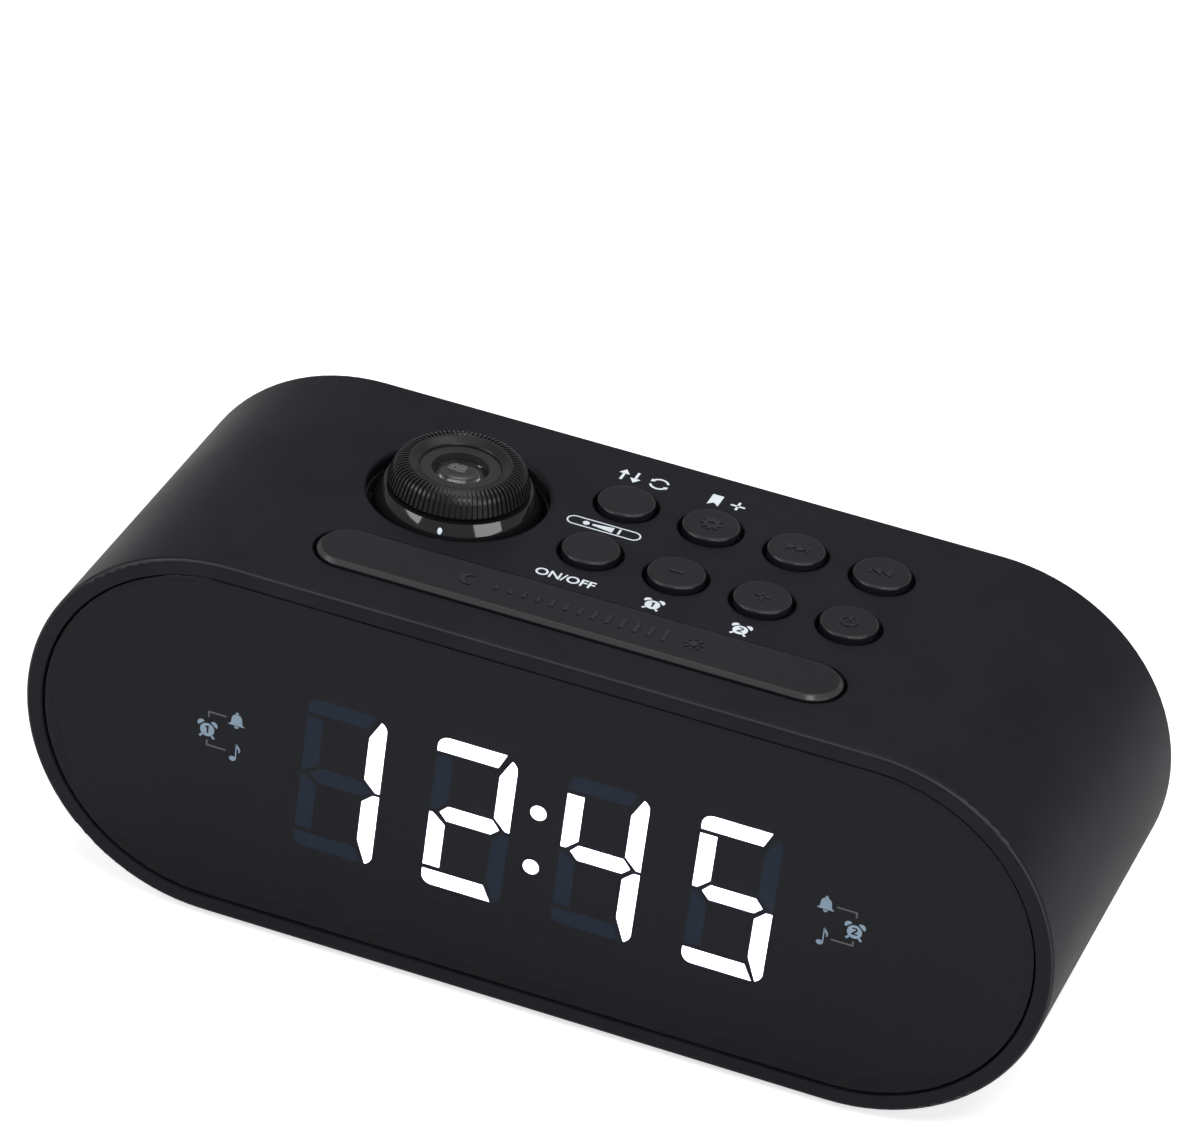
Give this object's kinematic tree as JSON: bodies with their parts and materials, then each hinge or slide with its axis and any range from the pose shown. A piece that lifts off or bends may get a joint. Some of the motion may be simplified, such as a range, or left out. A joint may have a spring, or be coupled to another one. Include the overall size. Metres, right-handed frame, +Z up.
{
  "type": "projection alarm clock",
  "caption": "Stadium-shaped bedside clock radio with a smoked display window, round top keys, a snooze bar and a swivelling ceiling projector.",
  "frame": {"origin": "on the surface the feet stand on, under the middle of the case", "axes": "+X to the right of someone facing the display, -Y out of the display, +Z up"},
  "size_m": [0.184, 0.069, 0.0775],
  "materials": {
    "case_black": "fine satin moulding",
    "smoked_window": "polished smoked acrylic",
    "inner_black": "plain moulding",
    "diffuser_white": "milky, lit from behind",
    "circuit_board": "green solder mask",
    "screw_steel": "black zinc",
    "rubber_black": "matte rubber",
    "pressed_steel": "zinc plated",
    "paper_black": "treated paper",
    "bare_aluminium": "plain can",
    "connector_white": "nylon",
    "contact_brass": "plated contact",
    "key_black": "satin moulding with a softened edge",
    "gloss_black": "polished moulding",
    "ring_black": "knurled satin moulding",
    "clear_lens": "clear optic",
    "lamp_red": "red light-emitting chip",
    "print_white": "pad-printed marks",
    "print_grey": "printed marks behind the window",
    "segment_off": "unlit segment seen through the window"
  },
  "bodies": {
    "root": {"main_shell": "case_black", "display_lens": "smoked_window", "display_mask": "inner_black", "display_block": "inner_black", "segment_diffusers": "diffuser_white", "display_leds": "diffuser_white", "display_board": "circuit_board", "display_screws": "screw_steel", "rear_cover": "case_black", "rear_cover_screws": "screw_steel", "aerial_grommet": "rubber_black", "speaker_basket": "pressed_steel", "speaker_magnet": "inner_black", "speaker_cone": "paper_black", "main_board": "circuit_board", "main_board_screws": "screw_steel", "board_chips": "inner_black", "board_capacitors": "bare_aluminium", "board_connectors": "connector_white", "supply_inlet": "inner_black", "supply_pin": "contact_brass", "rubber_feet": "rubber_black", "battery_door": "case_black", "door_screw": "screw_steel", "battery_tray": "inner_black", "coin_cell": "pressed_steel", "battery_contact": "contact_brass", "switch_bodies": "inner_black", "key_board": "circuit_board", "key_board_screws": "screw_steel", "projector_bracket": "inner_black", "bracket_screws": "screw_steel"},
    "projection_button": {"projection_key": "key_black", "projection_plunger": "inner_black"},
    "alarm_one_button": {"alarm_one_key": "key_black", "alarm_one_plunger": "inner_black"},
    "alarm_two_button": {"alarm_two_key": "key_black", "alarm_two_plunger": "inner_black"},
    "power_button": {"power_key": "key_black", "power_plunger": "inner_black"},
    "flip_button": {"flip_key": "key_black", "flip_plunger": "inner_black"},
    "memory_button": {"memory_key": "key_black", "memory_plunger": "inner_black"},
    "forward_button": {"forward_key": "key_black", "forward_plunger": "inner_black"},
    "back_button": {"back_key": "key_black", "back_plunger": "inner_black"},
    "snooze": {"snooze_bar": "key_black", "snooze_plungers": "inner_black"},
    "swivel": {"swivel_cup": "inner_black", "swivel_clip": "pressed_steel"},
    "head": {"projector_ball": "gloss_black", "time_slide": "smoked_window", "condenser_lens": "clear_lens", "lamp_board": "circuit_board", "projector_lamp": "lamp_red"},
    "focus": {"focus_ring": "ring_black"},
    "barrel": {"lens_barrel": "inner_black", "projection_lens": "clear_lens"}
  },
  "joints": [
    {"name": "projection_press", "type": "slide", "parent": "root", "child": "projection_button", "axis": [0, 0, -1], "range_m": [0, 0.0005], "stiffness_N_per_m": 1500},
    {"name": "alarm_one_press", "type": "slide", "parent": "root", "child": "alarm_one_button", "axis": [0, 0, -1], "range_m": [0, 0.0005], "stiffness_N_per_m": 1500},
    {"name": "alarm_two_press", "type": "slide", "parent": "root", "child": "alarm_two_button", "axis": [0, 0, -1], "range_m": [0, 0.0005], "stiffness_N_per_m": 1500},
    {"name": "power_press", "type": "slide", "parent": "root", "child": "power_button", "axis": [0, 0, -1], "range_m": [0, 0.0005], "stiffness_N_per_m": 1500},
    {"name": "flip_press", "type": "slide", "parent": "root", "child": "flip_button", "axis": [0, 0, -1], "range_m": [0, 0.0005], "stiffness_N_per_m": 1500},
    {"name": "memory_press", "type": "slide", "parent": "root", "child": "memory_button", "axis": [0, 0, -1], "range_m": [0, 0.0005], "stiffness_N_per_m": 1500},
    {"name": "forward_press", "type": "slide", "parent": "root", "child": "forward_button", "axis": [0, 0, -1], "range_m": [0, 0.0005], "stiffness_N_per_m": 1500},
    {"name": "back_press", "type": "slide", "parent": "root", "child": "back_button", "axis": [0, 0, -1], "range_m": [0, 0.0005], "stiffness_N_per_m": 1500},
    {"name": "snooze_press", "type": "slide", "parent": "root", "child": "snooze", "axis": [0, 0, -1], "range_m": [0, 0.0005], "stiffness_N_per_m": 2500},
    {"name": "head_swivel", "type": "hinge", "parent": "root", "child": "swivel", "pos_m": [-0.03236, 0.0071, 0.06505], "axis": [0, 0, 1], "range_deg": [-90, 90]},
    {"name": "head_tilt", "type": "hinge", "parent": "swivel", "child": "head", "pos_m": [-0.03236, 0.0071, 0.06505], "axis": [1, 0, 0], "range_deg": [-25, 25]},
    {"name": "focus_turn", "type": "hinge", "parent": "head", "child": "focus", "pos_m": [-0.03236, 0.0071, 0.07325], "axis": [0, 0, 1], "range_deg": [-90, 90]},
    {"name": "barrel_travel", "type": "slide", "parent": "head", "child": "barrel", "axis": [0, 0, 1], "range_m": [-0.001, 0.001]}
  ],
  "couplings": [
    {"joint": "focus_turn", "follows": "barrel_travel", "rad_per_m": 1570.8}
  ]
}
